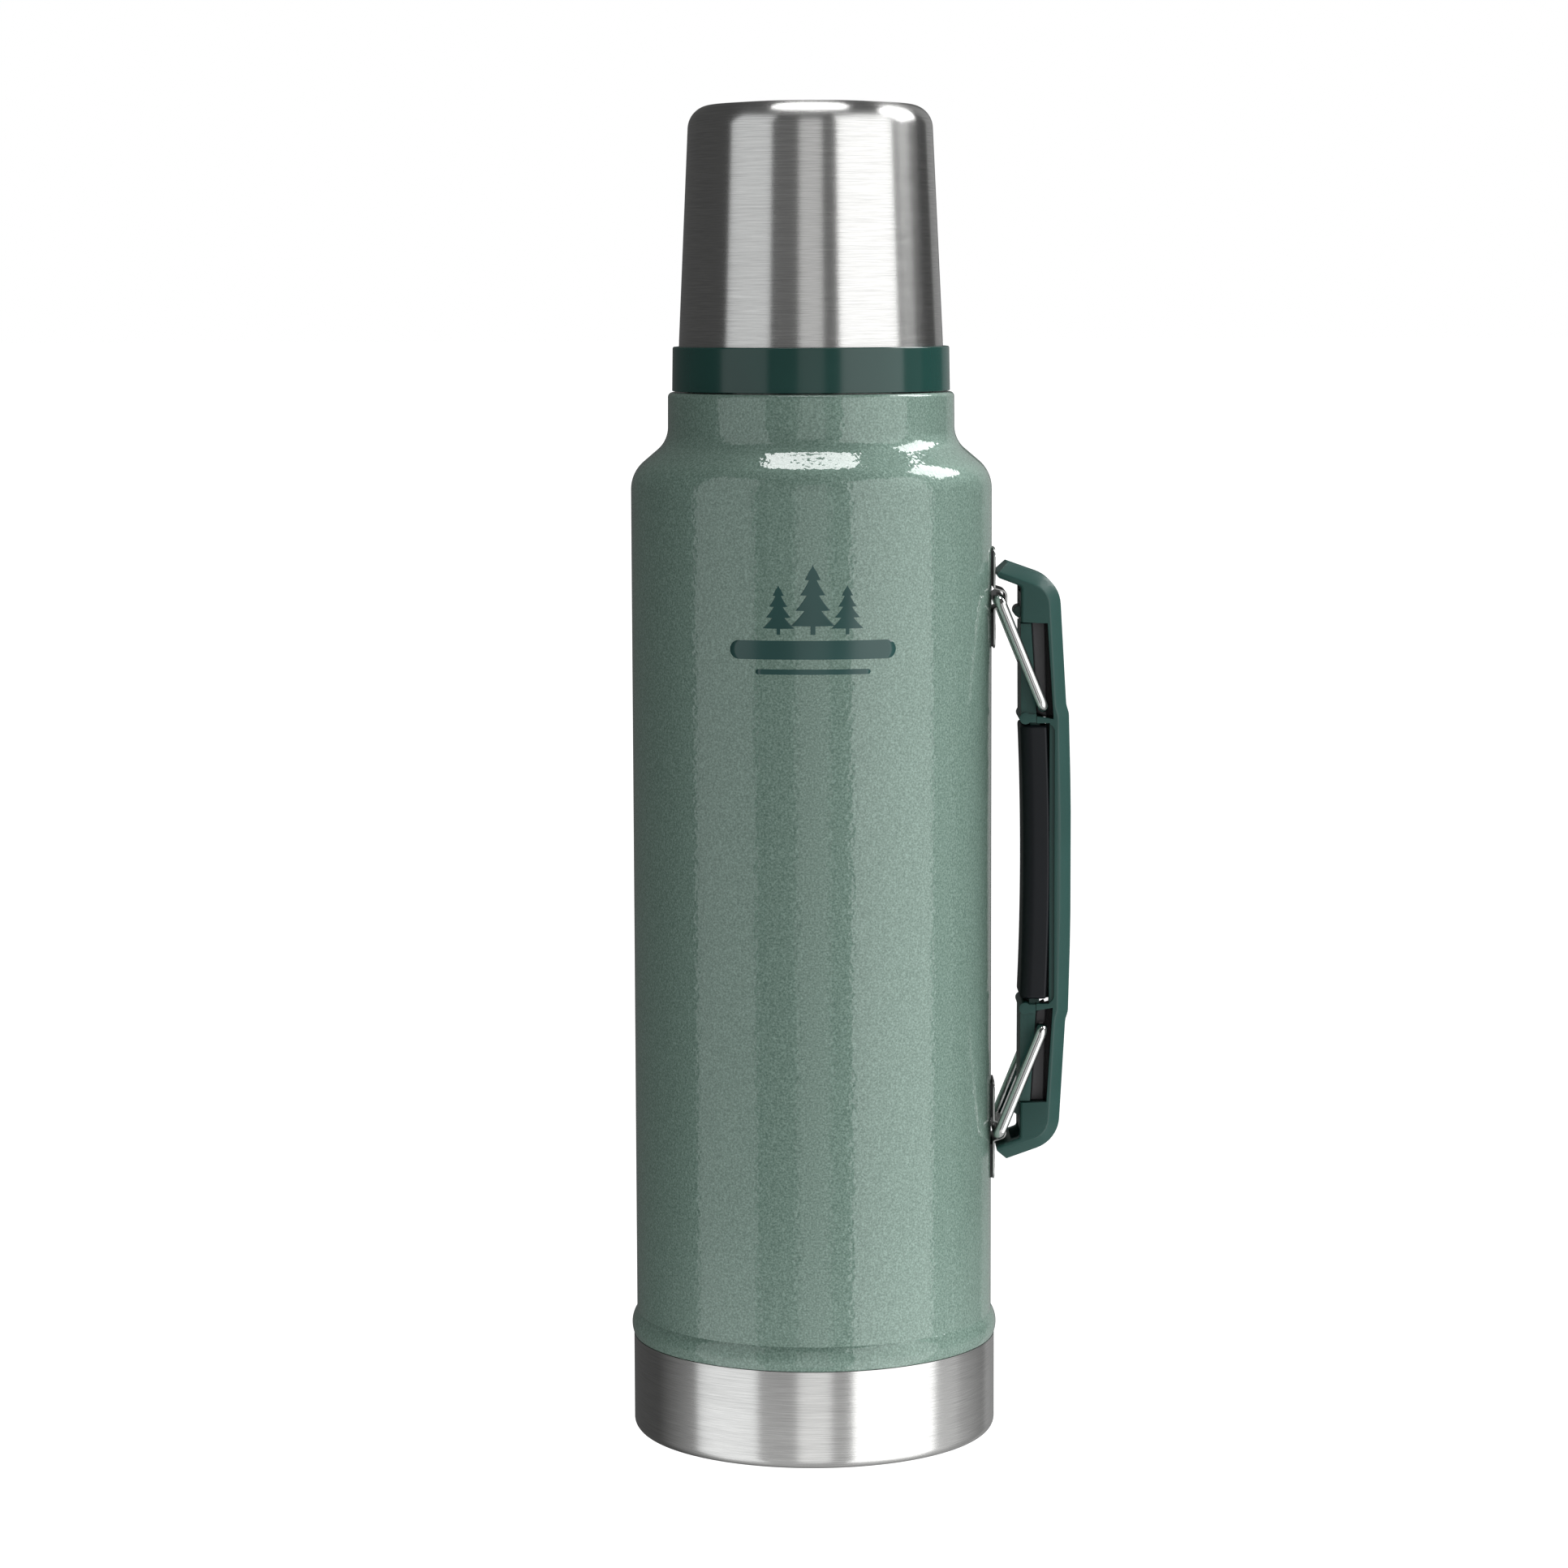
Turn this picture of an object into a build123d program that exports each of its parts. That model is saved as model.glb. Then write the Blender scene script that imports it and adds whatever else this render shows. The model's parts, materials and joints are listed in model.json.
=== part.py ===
"""Vacuum flask with a drinking cup, a stopper and a pull-out carrying handle.

The flask stands on z = 0 with its axis on Z, and the handle is on the +X side. Millimetres.
"""
from build123d import *
import os

os.makedirs("parts", exist_ok=True)

# ---- driving dimensions --------------------------------------------------------------------
BODY_R = 49.5            # painted wall, outside
WALL = 0.7               # outer steel
INNER_WALL = 0.5         # inner steel
BAND_R = 50.4            # bare steel base cup, outside
BAND_TOP = 27.0
BEAD_R = 50.9            # rolled bead above the base cup
BEAD_LOW, BEAD_MID, BEAD_TOP = 27.2, 29.9, 33.7
NECK_R = 39.2            # painted neck, outside
NECK_TOP = 288.9

INNER_R = 43.5           # liquid side of the inner flask
INNER_FLOOR = 13.0
MOUTH_R = 28.0           # bore of the mouth
LIP_Z = 304.0            # top of the rolled lip
COLLAR_R = 33.0          # threaded collar, outside

RING_R = 38.05           # plastic lip of the cup
RING_LOW, RING_TOP = 289.2, 301.3
CUP_FOOT_R = 36.3        # steel cup where it enters the ring
CUP_TOP_R = 33.1
CUP_TOP = 367.3

STOPPER_R = 26.3         # thread core of the stopper
STOPPER_LOW = 267.0
FLANGE_R = 31.0

HANDLE_MID = 159.5       # the handle is the same above and below this height
HANDLE_HALF = 10.3       # half of its width
BEVEL = 3.2              # wide bevel round its outer edge
GRIP_LOW, GRIP_TOP = 121.9, 197.1
GRIP_BOW = 0.85          # how far the grip bows away from the flask

LINK_MID = 158.4         # the two wire links are the same about this height
PIVOT_X = 51.15          # wire axis at the strap
PIVOT_REACH = 74.0       # height of that axis above or below LINK_MID
LINK_END_X = 63.1        # wire axis in the handle
LINK_END_REACH = 44.6
WIRE_R = 1.5
LEG_Y = 12.5             # legs of a link, left and right of the handle
STUB_Y = 6.4             # inner end of the turned-in wire

STRAP_WALL = 0.6
STRAP_HALF = 7.0
STRAP_REACH = 13.8       # above and below the wire
STRAP_BACK = 49.7        # back face of the flat strap
PAD_HALF = 6.5

THREAD_PITCH = 5.0


# ---- helpers -------------------------------------------------------------------------------
def sheet(points, radii, wall, side):
    """Section of bent sheet: a filleted line thickened to one side, in the XZ plane."""
    with BuildSketch(Plane.XZ) as section:
        with BuildLine():
            FilletPolyline(*points, radius=radii)
            offset(amount=wall, side=side)
        make_face()
    return section.sketch


def outline(points, plane=Plane.XZ):
    """Straight-sided closed section."""
    with BuildSketch(plane) as section:
        with BuildLine():
            Polyline(*points, close=True)
        make_face()
    return section.sketch


def ridge(root, crest, low, high, base, tip):
    """One helical thread ridge from its root radius to its crest radius, sunk 0.3 mm into the root."""
    out = 1 if crest > root else -1
    height = abs(crest - root) * out
    with BuildPart() as thread:
        with BuildLine() as path:
            Helix(pitch=THREAD_PITCH, height=high - low, radius=root, center=(0, 0, low))
        start = Plane(origin=path.line @ 0, x_dir=(1, 0, 0), z_dir=path.line % 0)
        with BuildSketch(start):
            with BuildLine():
                Polyline((-0.3 * out, -base / 2), (height, -tip / 2), (height, tip / 2),
                         (-0.3 * out, base / 2), close=True)
            make_face()
        sweep(path=path.line, is_frenet=True)
    return thread.part


def save(piece, label):
    """Name a finished piece and write it."""
    piece.part.label = label
    export_step(piece.part, f"parts/{label}.step")


# ---- outer flask ---------------------------------------------------------------------------
with BuildPart() as outer_shell:
    revolve(sheet([(BODY_R, 8.0), (BODY_R, 267.03), (NECK_R + 0.1, 275.72), (NECK_R, NECK_TOP), (34.2, NECK_TOP)],
                  [10.0, 8.0, 1.3], WALL, Side.LEFT), axis=Axis.Z)
    with BuildSketch(Plane.XZ):
        with BuildLine():
            ThreePointArc((BODY_R, BEAD_TOP), (BEAD_R, BEAD_MID), (BAND_R - 0.05, BEAD_LOW))
            Polyline((BAND_R - 0.05, BEAD_LOW), (BODY_R - 0.3, BEAD_LOW), (BODY_R - 0.3, BEAD_TOP),
                     (BODY_R, BEAD_TOP))
        make_face()
    revolve(axis=Axis.Z)
save(outer_shell, "outer_shell")

with BuildPart() as base_cup:
    revolve(sheet([(BAND_R, BAND_TOP), (BAND_R, 0), (37.0, 0), (36.0, 0.9), (32.0, 0.9), (31.0, 0), (0, 0)],
                  [2.8, 0.8, 0.8, 0.8, 0.8], WALL, Side.RIGHT), axis=Axis.Z)
save(base_cup, "base_cup")

with BuildPart() as outer_bottom:
    revolve(sheet([(BODY_R - WALL - 0.05, 15.0), (BODY_R - WALL - 0.05, 7.5), (0, 7.5)], [3.0], WALL, Side.RIGHT),
            axis=Axis.Z)
    with Locations((0, 0, 7.0)):
        Cylinder(1.5, 2.0, align=(Align.CENTER, Align.CENTER, Align.MIN), mode=Mode.SUBTRACT)
save(outer_bottom, "outer_bottom")

with BuildPart() as vacuum_plug:
    with Locations((0, 0, 6.4)):
        Cylinder(4.0, 1.1, align=(Align.CENTER, Align.CENTER, Align.MIN))
    fillet(vacuum_plug.edges().filter_by(GeomType.CIRCLE).sort_by(Axis.Z)[0], radius=0.8)
    with Locations((0, 0, 7.5)):
        Cylinder(1.45, 0.7, align=(Align.CENTER, Align.CENTER, Align.MIN))
save(vacuum_plug, "vacuum_plug")

with BuildPart() as neck_collar:
    revolve(sheet([(37.0, 288.15), (COLLAR_R, 288.15), (COLLAR_R, LIP_Z - INNER_WALL)], [1.0], 0.6, Side.LEFT),
            axis=Axis.Z)
    add(ridge(COLLAR_R, COLLAR_R + 0.6, 291.5, 299.0, 1.8, 0.8))
save(neck_collar, "neck_collar")

# ---- inner flask and what is in the vacuum gap ------------------------------------------------
with BuildPart() as inner_flask:
    revolve(sheet([(INNER_R, 17.0), (INNER_R, 260.0), (MOUTH_R, 272.5), (MOUTH_R, LIP_Z), (COLLAR_R, LIP_Z)],
                  [14.0, 8.0, 1.4], INNER_WALL, Side.RIGHT), axis=Axis.Z)
    add(ridge(MOUTH_R, MOUTH_R - 0.4, 280.0, 298.0, 1.6, 0.8))
save(inner_flask, "inner_flask")

with BuildPart() as inner_bottom:
    revolve(sheet([(INNER_R, 17.0), (INNER_R, INNER_FLOOR), (0, INNER_FLOOR)], [3.8], INNER_WALL, Side.LEFT),
            axis=Axis.Z)
save(inner_bottom, "inner_bottom")

with BuildPart() as radiation_shield:
    revolve(outline([(44.2, 20.0), (44.35, 20.0), (44.35, 247.0), (44.2, 247.0)]), axis=Axis.Z)
save(radiation_shield, "radiation_shield")

GETTER_X = 22.0
with BuildPart() as getter_holder:
    with Locations((GETTER_X, 0, 8.2)):
        Cylinder(6.0, 2.4, align=(Align.CENTER, Align.CENTER, Align.MIN))
    with Locations((GETTER_X, 0, 8.6)):
        Cylinder(5.6, 2.4, align=(Align.CENTER, Align.CENTER, Align.MIN), mode=Mode.SUBTRACT)
save(getter_holder, "getter_holder")

with BuildPart() as getter_pellet:
    with Locations((GETTER_X, 0, 8.6)):
        Cylinder(5.5, 1.6, align=(Align.CENTER, Align.CENTER, Align.MIN))
    chamfer(getter_pellet.edges().filter_by(GeomType.CIRCLE).sort_by(Axis.Z)[-1], length=0.3)
save(getter_pellet, "getter_pellet")

# ---- cup -------------------------------------------------------------------------------------
with BuildPart() as cup_shell:
    revolve(sheet([(CUP_FOOT_R, 298.0), (CUP_TOP_R, 366.1), (16.0, CUP_TOP), (0, CUP_TOP)],
                  [6.5, 120.0], 0.5, Side.LEFT), axis=Axis.Z)
save(cup_shell, "cup_shell")

with BuildPart() as cup_liner:
    with BuildSketch(Plane.XZ):
        with BuildLine():
            # up the outside of the ring, down into the groove that takes the steel, then the liner wall
            FilletPolyline((34.6, RING_LOW), (RING_R, RING_LOW), (RING_R - 0.2, RING_TOP), (36.4, RING_TOP),
                           (36.4, 297.9), (35.7, 297.9), (34.0, 335.0), (31.9, 363.6), (0, 365.2),
                           radius=[0.6, 0.7, 0.2, 0.2, 0.2, 60.0, 5.0])
            Polyline((0, 365.2), (0, 363.8))
            FilletPolyline((0, 363.8), (30.7, 362.3), (32.8, 335.0), (34.0, 303.5), (34.6, 302.6), (34.6, RING_LOW),
                           radius=[4.0, 60.0, 0.3, 0.3])
        make_face()
    revolve(axis=Axis.Z)
    add(ridge(34.6, 33.9, 291.5, 299.0, 1.8, 0.8))
save(cup_liner, "cup_liner")

# ---- stopper ---------------------------------------------------------------------------------
with BuildPart() as stopper_body:
    revolve(outline([(24.6, 270.0), (STOPPER_R, 270.0), (STOPPER_R, 303.0), (27.6, 304.3),
                     (FLANGE_R, 304.3), (FLANGE_R, 306.8), (25.2, 306.8), (25.2, 313.0), (22.6, 313.0),
                     (22.6, 304.6), (24.6, 302.6)]), axis=Axis.Z)
    with BuildSketch(Plane.XY.offset(304.0)):
        Circle(30.7)
        Circle(28.7, mode=Mode.SUBTRACT)
    extrude(amount=1.4, mode=Mode.SUBTRACT)
    fillet(stopper_body.edges().filter_by(GeomType.CIRCLE).filter_by(lambda e: abs(e.radius - FLANGE_R) < 0.01)
           .sort_by(Axis.Z)[-1], radius=0.8)
    add(ridge(STOPPER_R, STOPPER_R + 1.0, 280.0, 298.0, 1.8, 0.8))
    with BuildSketch(Plane.XY.offset(271.0)):
        with Locations((-STOPPER_R - 1.0, 0)):
            Rectangle(4.0, 9.0)
    extrude(amount=31.0, mode=Mode.SUBTRACT)
save(stopper_body, "stopper_body")

with BuildPart() as stopper_base:
    with Locations((0, 0, STOPPER_LOW)):
        Cylinder(STOPPER_R, 2.9, align=(Align.CENTER, Align.CENTER, Align.MIN))
        fillet(stopper_base.edges().filter_by(GeomType.CIRCLE).sort_by(Axis.Z)[0], radius=1.6)
    with BuildSketch(Plane.XY.offset(269.9)):
        Circle(24.5)
        Circle(22.6, mode=Mode.SUBTRACT)
    extrude(amount=3.0)
save(stopper_base, "stopper_base")

with BuildPart() as stopper_foam:
    with Locations((0, 0, 270.1)):
        Cylinder(22.4, 38.0, align=(Align.CENTER, Align.CENTER, Align.MIN))
save(stopper_foam, "stopper_foam")

with BuildPart() as stopper_seal:
    with BuildSketch(Plane.XY.offset(304.1)):
        Circle(30.6)
        Circle(28.8, mode=Mode.SUBTRACT)
    extrude(amount=1.2)
save(stopper_seal, "stopper_seal")

KNOB_TOP = 331.0
with BuildPart() as stopper_cap:
    revolve(sheet([(29.0, 306.9), (27.8, KNOB_TOP), (0, KNOB_TOP)], [3.0], 1.8, Side.LEFT), axis=Axis.Z)
    with PolarLocations(29.6, 20):
        with Locations((0, 0, 308.5)):
            Cylinder(2.0, 30.0, rotation=(0, -2.9, 0), align=(Align.CENTER, Align.CENTER, Align.MIN),
                     mode=Mode.SUBTRACT)
save(stopper_cap, "stopper_cap")


# ---- straps, pads and rivets -------------------------------------------------------------------
def strap_section(pivot):
    """Flat strap that arches over the wire at the given height."""
    peak = PIVOT_X + WIRE_R + 0.3
    return sheet([(STRAP_BACK, pivot - STRAP_REACH), (STRAP_BACK, pivot - 2.6), (peak, pivot - 1.6),
                  (peak, pivot + 1.6), (STRAP_BACK, pivot + 2.6), (STRAP_BACK, pivot + STRAP_REACH)],
                 [0.8, 1.2, 1.2, 0.8], STRAP_WALL, Side.RIGHT)


def rivet_heights(pivot):
    """Two rivets, one each side of the arch."""
    return [pivot - 9.5, pivot + 9.5]


PIVOTS = {"upper": LINK_MID + PIVOT_REACH, "lower": LINK_MID - PIVOT_REACH}
RIVET_Z = [height for pivot in PIVOTS.values() for height in rivet_heights(pivot)]

for place, pivot in PIVOTS.items():
    with BuildPart() as strap:
        extrude(strap_section(pivot), amount=STRAP_HALF, both=True)
        fillet(strap.edges().filter_by(Axis.X).filter_by(lambda e: e.length < 1.0), radius=3.0)
        for height in rivet_heights(pivot):
            with Locations(Location((STRAP_BACK, 0, height), (0, 90, 0))):
                Cylinder(1.6, 3.0, mode=Mode.SUBTRACT)
    save(strap, f"strap_{place}")

    with BuildPart() as pad:
        with BuildSketch(Plane.XY.offset(pivot - STRAP_REACH + 0.6)):
            with Locations((STRAP_BACK, 0)):
                Rectangle(2.0, 2 * PAD_HALF, align=(Align.MAX, Align.CENTER))
            Circle(BODY_R + 0.02, mode=Mode.SUBTRACT)
        extrude(amount=2 * STRAP_REACH - 1.2)
        with Locations((STRAP_BACK, 0, pivot)):
            Box(4.0, 30.0, 7.6, mode=Mode.SUBTRACT)
        for height in rivet_heights(pivot):
            with Locations(Location((STRAP_BACK, 0, height), (0, 90, 0))):
                Cylinder(1.6, 3.0, mode=Mode.SUBTRACT)
    save(pad, f"strap_pad_{place}")

with BuildPart() as strap_rivets:
    for height in RIVET_Z:
        with Locations(Location((BODY_R + 0.02, 0, height), (0, 90, 0))):
            Cylinder(1.55, STRAP_BACK + STRAP_WALL - BODY_R, align=(Align.CENTER, Align.CENTER, Align.MIN))
        with Locations(Location((STRAP_BACK + STRAP_WALL, 0, height), (0, 90, 0))):
            Cylinder(2.4, 0.3, align=(Align.CENTER, Align.CENTER, Align.MIN))
save(strap_rivets, "strap_rivets")

# ---- wire links ----------------------------------------------------------------------------------
for place, way in (("upper", 1), ("lower", -1)):
    pivot = LINK_MID + way * PIVOT_REACH
    end = LINK_MID + way * LINK_END_REACH
    with BuildPart() as link:
        with BuildLine() as path:
            FilletPolyline((LINK_END_X, -STUB_Y, end), (LINK_END_X, -LEG_Y, end), (PIVOT_X, -LEG_Y, pivot),
                           (PIVOT_X, LEG_Y, pivot), (LINK_END_X, LEG_Y, end), (LINK_END_X, STUB_Y, end),
                           radius=[2.0, 2.2, 2.2, 2.0])
        with BuildSketch(Plane(origin=path.line @ 0, z_dir=path.line % 0)):
            Circle(WIRE_R)
        sweep(path=path.line)
    save(link, f"wire_link_{place}")

# ---- handle --------------------------------------------------------------------------------------
MID_PLANE = Plane.XY.offset(HANDLE_MID)
RAIL_X = 57.1            # inner face of the handle
OUTER_X = 71.15          # outer face at mid height
CAVITY_X = 67.0          # inside of its outer wall
CAVITY_HALF = 8.0
WINDOW_TOP = 226.4
WINDOW = [(50.0, WINDOW_TOP), (64.4, 225.8), (66.1, 199.5), (RAIL_X, 201.0), (50.0, 201.0)]

with BuildPart() as handle_shell:
    # upper half of the side outline, with the arm left long
    with BuildSketch(Plane.XZ):
        with BuildLine():
            FilletPolyline((44.0, 245.7), (67.8, 237.2), (69.75, 203.3), (70.5, 200.9), (OUTER_X, 178.0),
                           (OUTER_X, HANDLE_MID), radius=[9.5, 6.0, 5.0, 1000.0])
            Line((OUTER_X, HANDLE_MID), (RAIL_X, HANDLE_MID))
            FilletPolyline((RAIL_X, HANDLE_MID), (RAIL_X, 235.9), (44.0, 240.9), radius=1.0)
            Line((44.0, 240.9), (44.0, 245.7))
        make_face()
    extrude(amount=HANDLE_HALF, both=True)
    rim = handle_shell.faces().filter_by(Axis.Y).edges().filter_by(lambda e: e.center().Z > HANDLE_MID + 0.1)
    chamfer(rim.filter_by(lambda e: e.center().X > 64.5 or (e.center().Z > 240.5 and e.center().X > 46.0)),
            length=BEVEL)
    fillet(handle_shell.edges().filter_by(lambda e: abs(abs(e.center().Y) - HANDLE_HALF) < 0.01
                                          and e.center().X < 60.0 and 190.0 < e.center().Z < 240.5), radius=0.8)
    # nose of the arm, close in front of the strap
    with BuildSketch(Plane.XZ):
        with BuildLine():
            FilletPolyline((40.0, 230.0), (51.5, 230.0), (51.5, 237.4), (50.5, 239.2), (53.8, 242.6),
                           (53.8, 252.0), (40.0, 252.0), radius=[0.5, 0.5, 0.6, 0.9, 0.5])
            Line((40.0, 252.0), (40.0, 230.0))
        make_face()
    extrude(amount=20.0, both=True, mode=Mode.SUBTRACT)
    # hollow between the side walls, from the grip up to the end of the window
    with BuildSketch(Plane.XZ):
        with BuildLine():
            Polyline((50.0, HANDLE_MID), (50.0, WINDOW_TOP), (CAVITY_X - 0.8, WINDOW_TOP), (CAVITY_X, 200.0),
                     (CAVITY_X, HANDLE_MID), close=True)
        make_face()
    extrude(amount=CAVITY_HALF, both=True, mode=Mode.SUBTRACT)
    # windows through both side walls
    with BuildSketch(Plane.XZ):
        with BuildLine():
            Polyline(*WINDOW, close=True)
        make_face()
    extrude(amount=20.0, both=True, mode=Mode.SUBTRACT)
    # seat of the grip
    with BuildSketch(Plane.XZ):
        with BuildLine():
            Polyline((50.0, HANDLE_MID), (50.0, 198.4), (65.05, 198.4), (65.05, HANDLE_MID), close=True)
        make_face()
    extrude(amount=20.0, both=True, mode=Mode.SUBTRACT)
    # the inner part of the crossbar belongs to the frame
    with Locations((61.5, 0, 198.0)):
        Box(8.0, 40.0, 3.4, align=(Align.MAX, Align.CENTER, Align.MIN), mode=Mode.SUBTRACT)
    # step in the side walls beside the grip
    for side in (-1, 1):
        with BuildSketch(Plane.XZ.offset(side * (HANDLE_HALF - 0.9))):
            with BuildLine():
                FilletPolyline((60.0, HANDLE_MID), (60.0, 198.4), (66.4, 198.4), (66.4, HANDLE_MID),
                               radius=[0.5, 2.5])
                Line((66.4, HANDLE_MID), (60.0, HANDLE_MID))
            make_face()
        extrude(amount=side * 5.0, mode=Mode.SUBTRACT)
    # hollow arm, open underneath, and the seat of the frame's tongue
    with BuildSketch(Plane.XZ):
        with BuildLine():
            FilletPolyline((54.8, 234.0), (54.8, 239.6), (63.8, 236.6), (66.4, 232.0), (66.8, 227.9),
                           (58.6, 227.9), (58.6, 234.0), radius=[0.8, 3.0, 2.0, 0.8, 0.8])
            Line((58.6, 234.0), (54.8, 234.0))
        make_face()
    extrude(amount=7.4, both=True, mode=Mode.SUBTRACT)
    with Locations((58.6, 0, 225.0)):
        Box(4.0, 10.4, 6.4, align=(Align.MAX, Align.CENTER, Align.MIN), mode=Mode.SUBTRACT)
    mirror(about=MID_PLANE)
save(handle_shell, "handle_shell")

with BuildPart() as handle_frame:
    # rail beside the window, crossbar with its bead, and the core that the grip is moulded on
    extrude(outline([(RAIL_X + 0.1, 200.0), (RAIL_X, 225.7), (59.9, 225.7), (61.4, 201.0), (61.4, 200.0)]),
            amount=9.4, both=True)
    extrude(outline([(RAIL_X + 0.2, 198.6), (RAIL_X + 0.2, 200.9), (61.4, 200.9), (61.4, 198.6)]),
            amount=10.2, both=True)
    extrude(outline([(59.7, HANDLE_MID), (62.5, HANDLE_MID), (62.5, 198.3), (61.4, 199.0), (59.7, 199.0)]),
            amount=7.9, both=True)
    with Locations(Location((58.4, 0, 199.7), (90, 0, 0))):
        Cylinder(1.6, 20.4)
    # tongue with the round stop nub
    with Locations((57.2, 0, 225.5)):
        Box(1.3, 10.0, 5.6, align=(Align.MIN, Align.CENTER, Align.MIN))
    with Locations(Location((56.9, 0, 228.7), (90, 0, 0))):
        Cylinder(1.55, 10.0)
    mirror(about=MID_PLANE)
save(handle_frame, "handle_frame")

with BuildPart() as handle_grip:
    with BuildLine() as bow:
        ThreePointArc((57.0, 0, GRIP_LOW), (57.0 + GRIP_BOW, 0, HANDLE_MID), (57.0, 0, GRIP_TOP))
    with BuildSketch(Plane.XY.offset(GRIP_LOW)) as section:
        with BuildLine():
            FilletPolyline((64.2, 0), (64.2, -10.35), (57.0, -10.35), (57.0, 10.35), (64.2, 10.35), (64.2, 0.1),
                           radius=[0.7, 3.4, 3.4, 0.7])
            Line((64.2, 0.1), (64.2, 0))
        make_face()
    sweep(path=bow.line)
    with Locations((59.65, 0, HANDLE_MID)):
        Box(10.0, 16.0, 100.0, align=(Align.MIN, Align.CENTER, Align.CENTER), mode=Mode.SUBTRACT)
    fillet(handle_grip.faces().sort_by(Axis.Z)[-1].outer_wire().edges().filter_by(lambda e: e.center().X < 64.0)
           .filter_by(lambda e: abs(e.center().Y) > 8.5 or e.center().X < 57.5), radius=0.8)
save(handle_grip, "handle_grip")

for place, way in (("upper", 1), ("lower", -1)):
    with BuildPart() as guide:
        points = [(60.1, 226.2), (65.9, 226.2), (66.8, 199.4), (61.6, 201.0)]
        placed = [(x, HANDLE_MID + way * (z - HANDLE_MID)) for x, z in points]
        extrude(outline(placed), amount=6.0, both=True)
    save(guide, f"slot_guide_{place}")
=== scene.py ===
# %% [markdown]
# # A vacuum flask, finished in Blender
# The flask was designed in CAD as twenty-nine pieces on six moving bodies. This lesson puts the looks
# on that frame: turned steel, hammered enamel, moulded plastic, rubber and polished wire. It starts
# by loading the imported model, so that every new surface can take its place from a CAD box.

# %% Load the frame
import json
import math

import bmesh
import bpy
import numpy as np
from mathutils import Matrix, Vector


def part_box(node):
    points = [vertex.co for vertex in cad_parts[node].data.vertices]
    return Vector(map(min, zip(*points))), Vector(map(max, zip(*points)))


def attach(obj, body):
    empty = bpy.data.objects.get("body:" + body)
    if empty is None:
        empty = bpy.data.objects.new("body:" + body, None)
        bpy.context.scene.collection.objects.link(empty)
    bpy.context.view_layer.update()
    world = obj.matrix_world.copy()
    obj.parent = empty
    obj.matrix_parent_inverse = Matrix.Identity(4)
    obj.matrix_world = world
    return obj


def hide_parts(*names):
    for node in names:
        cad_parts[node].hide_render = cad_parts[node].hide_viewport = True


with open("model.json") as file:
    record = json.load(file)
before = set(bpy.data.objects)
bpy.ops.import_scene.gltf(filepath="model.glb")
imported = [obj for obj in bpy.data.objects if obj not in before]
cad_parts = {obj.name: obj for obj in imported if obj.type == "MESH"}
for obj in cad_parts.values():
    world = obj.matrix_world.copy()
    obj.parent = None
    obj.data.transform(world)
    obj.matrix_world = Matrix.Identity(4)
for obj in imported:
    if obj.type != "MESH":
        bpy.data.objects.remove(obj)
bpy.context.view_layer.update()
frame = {"nodes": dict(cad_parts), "record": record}
nodes = frame["nodes"]


# %% [markdown]
# ## Reading the frame
# A turned piece only needs radii and heights. The widest point of a node's box along Y is its
# radius, because the flask stands on the Z axis and only the handle leaves it. Everything else on a
# profile is a small step from one of these landmarks, in millimetres.

# %% Landmarks from the CAD boxes
MM = 0.001


def radius_of(node):
    """Largest radius of a turned node, in metres."""
    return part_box(node)[1].y


def low_of(node):
    """Lowest height of a node, in metres."""
    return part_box(node)[0].z


def top_of(node):
    """Highest height of a node, in metres."""
    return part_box(node)[1].z


band_r, band_top = radius_of("base_cup"), top_of("base_cup")
bead_r = radius_of("outer_shell")
BEAD_HEIGHT, SHOULDER_STEP = 1.4 * MM, 10.3 * MM
body_r = bead_r - BEAD_HEIGHT
neck_r = body_r - SHOULDER_STEP
neck_top = top_of("outer_shell")
ring_low, cup_top = low_of("cup_liner"), top_of("cup_shell")
ring_r = radius_of("cup_liner")
cup_foot_r, cup_foot_z = radius_of("cup_shell"), low_of("cup_shell")
print(f"body radius {body_r / MM:.2f} mm, neck {neck_r / MM:.2f} mm, ring {ring_r / MM:.2f} mm")

# %% [markdown]
# ## Lines with rounded corners
# Bent sheet metal has no sharp corner, so every profile starts as a few corner points, and an arc
# replaces each corner. The same helper rounds the wire links, because the arithmetic is the same in
# two and three dimensions. Blender's own curves could do this too, but an array can be offset to
# give the sheet its thickness.


# %% Rounded lines and sheet thickness
def rounded(points, radii, degrees_per_step=6.0):
    """A line through corner points whose inner corners are arcs.
    At a corner that turns by t, an arc of radius r leaves the first run r * tan(t / 2) before the
    corner, and its centre is r / cos(t / 2) from the corner along the bisector."""
    points = np.asarray(points, float)
    line = [points[:1]]
    for before, corner, after, radius in zip(points, points[1:], points[2:], radii):
        towards = (before - corner) / np.linalg.norm(before - corner)
        away = (after - corner) / np.linalg.norm(after - corner)
        turn = math.pi - math.acos(float(np.clip(towards @ away, -1, 1)))
        bisector = (towards + away) / np.linalg.norm(towards + away)
        centre = corner + bisector * radius / math.cos(turn / 2)
        start = corner + towards * radius * math.tan(turn / 2) - centre
        across = corner + away * radius * math.tan(turn / 2) - centre
        across = across - start * (across @ start) / radius ** 2
        across = across / np.linalg.norm(across) * radius
        steps = max(3, math.ceil(math.degrees(turn) / degrees_per_step))
        angle = np.linspace(0, turn, steps + 1)[:, None]
        line.append(centre + start * np.cos(angle) + across * np.sin(angle))
    line.append(points[-1:])
    return np.concatenate(line)


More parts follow.
